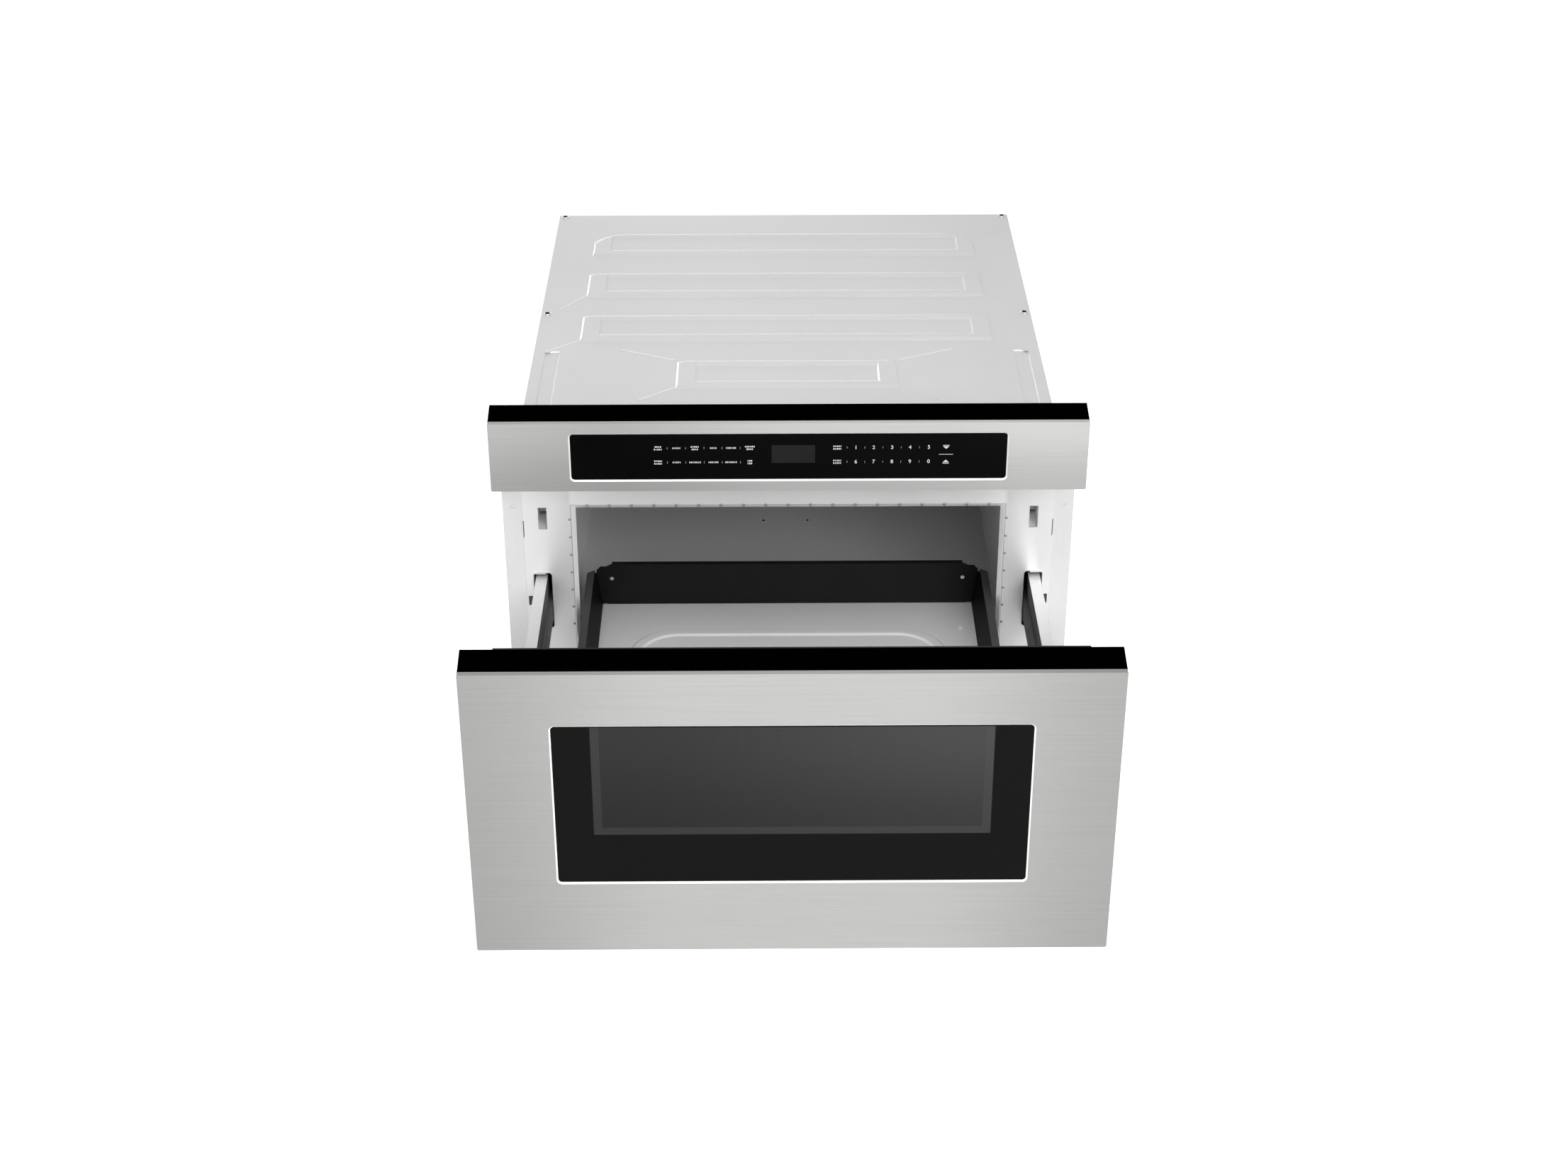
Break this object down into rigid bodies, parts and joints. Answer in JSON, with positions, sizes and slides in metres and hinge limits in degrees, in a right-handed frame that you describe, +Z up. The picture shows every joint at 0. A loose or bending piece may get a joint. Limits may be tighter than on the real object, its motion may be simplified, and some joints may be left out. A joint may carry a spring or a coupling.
{
  "type": "microwave drawer",
  "caption": "Built-in microwave drawer: steel case with pressed ribs, touch panel above, windowed drawer front on telescopic slides with an open tray and a rack drive.",
  "frame": {"origin": "centre of the case's underside", "axes": "+X to the right seen from the front, +Y to the back, +Z up; the drawer comes out towards -Y and is out at rest"},
  "size_m": [0.61, 0.952, 0.396],
  "materials": {
    "aluminium": "drawn",
    "galvanised_steel": "plain zinc-coated sheet",
    "bright_rivet": "bright",
    "cavity_paint": "satin paint",
    "white_plastic": "matt",
    "dark_enamel": "satin enamel",
    "circuit_board": "solder mask",
    "brushed_steel_front": "brushed, fine horizontal grain",
    "black_plastic": "fine matt grain",
    "rubber_gland": "matt",
    "gear_plastic": "matt acetal",
    "zinc_frame": "satin",
    "zinc_slide": "satin zinc plating",
    "mica": "satin sheet",
    "black_glass": "gloss, dark tinted",
    "copper_winding": "lacquered wire",
    "grey_enamel": "satin enamel, light speckle",
    "black_screen": "satin perforated sheet"
  },
  "bodies": {
    "case": {"capacitor": "aluminium", "case_back": "galvanised_steel", "case_base": "galvanised_steel", "case_screws": "bright_rivet", "case_side_left": "galvanised_steel", "case_side_right": "galvanised_steel", "case_top": "galvanised_steel", "cavity_back": "cavity_paint", "cavity_ceiling": "cavity_paint", "cavity_floor": "cavity_paint", "cavity_lamp": "white_plastic", "cavity_sides": "cavity_paint", "control_board": "circuit_board", "control_panel_fascia": "brushed_steel_front", "control_panel_trim": "black_plastic", "cord_gland": "rubber_gland", "drive_bracket": "galvanised_steel", "drive_motor": "galvanised_steel", "fan_motor": "galvanised_steel", "fan_shroud": "white_plastic", "front_frame": "zinc_frame", "latch_switches": "white_plastic", "magnetron": "galvanised_steel", "mounting_flanges": "galvanised_steel", "panel_bracket": "galvanised_steel", "power_board": "circuit_board", "slide_fixed_left": "zinc_slide", "slide_fixed_right": "zinc_slide", "stirrer_cover": "mica", "stirrer_dome": "aluminium", "stirrer_motor": "galvanised_steel", "touch_glass": "black_glass", "transformer": "copper_winding", "waveguide": "aluminium"},
    "drawer": {"drawer_fascia": "brushed_steel_front", "drawer_trim": "black_plastic", "window_glass": "black_glass", "window_screen": "black_screen", "drawer_back_plate": "galvanised_steel", "drawer_inner_panel": "dark_enamel", "choke_cover": "dark_enamel", "tray_floor": "grey_enamel", "tray_back": "dark_enamel", "tray_rivets": "bright_rivet", "tray_sides": "dark_enamel", "tray_corners": "dark_enamel", "slide_arms": "zinc_slide", "latch_hooks": "zinc_slide", "drive_rack": "gear_plastic", "slide_inner_left": "zinc_slide", "slide_inner_right": "zinc_slide"},
    "slide_middle_left": {"slide_middle_left": "zinc_slide", "slide_rollers_left": "zinc_slide"},
    "slide_middle_right": {"slide_middle_right": "zinc_slide", "slide_rollers_right": "zinc_slide"},
    "pinion": {"drive_pinion": "gear_plastic"},
    "stirrer": {"stirrer": "aluminium"},
    "fan": {"fan_blade": "white_plastic"},
    "lever_left": {"latch_lever_left": "white_plastic"},
    "lever_right": {"latch_lever_right": "white_plastic"}
  },
  "joints": [
    {"name": "drawer_slide", "type": "slide", "parent": "case", "child": "drawer", "axis": [0, 1, 0], "range_m": [0, 0.341]},
    {"name": "slide_middle_left_slide", "type": "slide", "parent": "case", "child": "slide_middle_left", "axis": [0, 1, 0], "range_m": [0, 0.1705]},
    {"name": "slide_middle_right_slide", "type": "slide", "parent": "case", "child": "slide_middle_right", "axis": [0, 1, 0], "range_m": [0, 0.1705]},
    {"name": "pinion_spin", "type": "hinge", "parent": "case", "child": "pinion", "pos_m": [0, -0.215, 0.042], "axis": [1, 0, 0], "range_deg": [-1225, 5]},
    {"name": "stirrer_spin", "type": "hinge", "parent": "case", "child": "stirrer", "pos_m": [0, -0.058, 0.29], "axis": [0, 0, 1], "continuous": true},
    {"name": "fan_spin", "type": "hinge", "parent": "case", "child": "fan", "pos_m": [-0.096, 0.2209, 0.29], "axis": [1, 0, 0], "continuous": true},
    {"name": "latch_lever_left_swing", "type": "hinge", "parent": "case", "child": "lever_left", "pos_m": [-0.2577, -0.2435, 0.2703], "axis": [1, 0, 0], "range_deg": [0, 8], "stiffness_Nm_per_rad": 0.02},
    {"name": "latch_lever_right_swing", "type": "hinge", "parent": "case", "child": "lever_right", "pos_m": [0.2577, -0.2435, 0.2703], "axis": [1, 0, 0], "range_deg": [0, 8], "stiffness_Nm_per_rad": 0.02}
  ],
  "couplings": [
    {"joint": "slide_middle_left_slide", "follows": "drawer_slide", "ratio": 0.5},
    {"joint": "slide_middle_right_slide", "follows": "drawer_slide", "ratio": 0.5},
    {"joint": "pinion_spin", "follows": "drawer_slide", "rad_per_m": -62.5}
  ]
}
